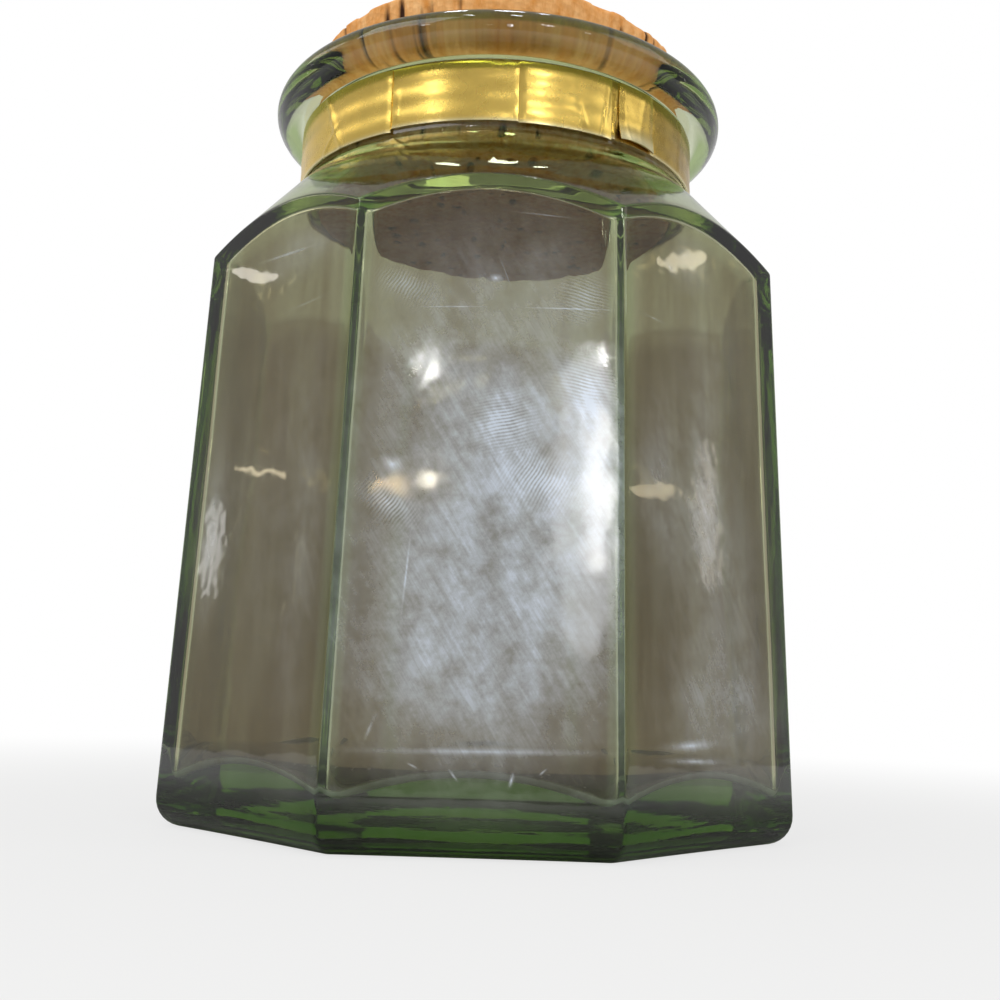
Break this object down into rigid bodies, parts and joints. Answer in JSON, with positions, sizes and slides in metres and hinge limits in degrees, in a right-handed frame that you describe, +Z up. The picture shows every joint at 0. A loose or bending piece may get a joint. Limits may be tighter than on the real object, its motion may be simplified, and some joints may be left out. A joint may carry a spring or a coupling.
{
  "type": "cork-stoppered glass jar",
  "caption": "Eight-sided green-tinted glass jar with coned shoulder, round neck, rolled rim, gold foil band and a tapered natural cork that lifts out of the mouth.",
  "frame": {"origin": "centre of the foot, on the surface that the jar stands on", "axes": "+Z up along the jar's axis, -Y out of the front panel, +X to its right"},
  "size_m": [0.0996, 0.0996, 0.136],
  "materials": {
    "green_glass": "clear moulded soda-lime glass with a green tint",
    "natural_cork": "natural cork with dark lenticels and chipped edges",
    "gold_foil": "satin gold foil, lapped and a little creased"
  },
  "bodies": {
    "jar": {"glass_jar": "green_glass", "foil_strip_left": "gold_foil", "foil_strip_front_left": "gold_foil", "foil_strip_front_right": "gold_foil", "foil_strip_right": "gold_foil", "foil_patch": "gold_foil"},
    "cork": {"cork_stopper": "natural_cork"}
  },
  "joints": [
    {"name": "cork_lift", "type": "slide", "parent": "jar", "child": "cork", "axis": [0, 0, 1], "range_m": [0, 0.09]}
  ]
}
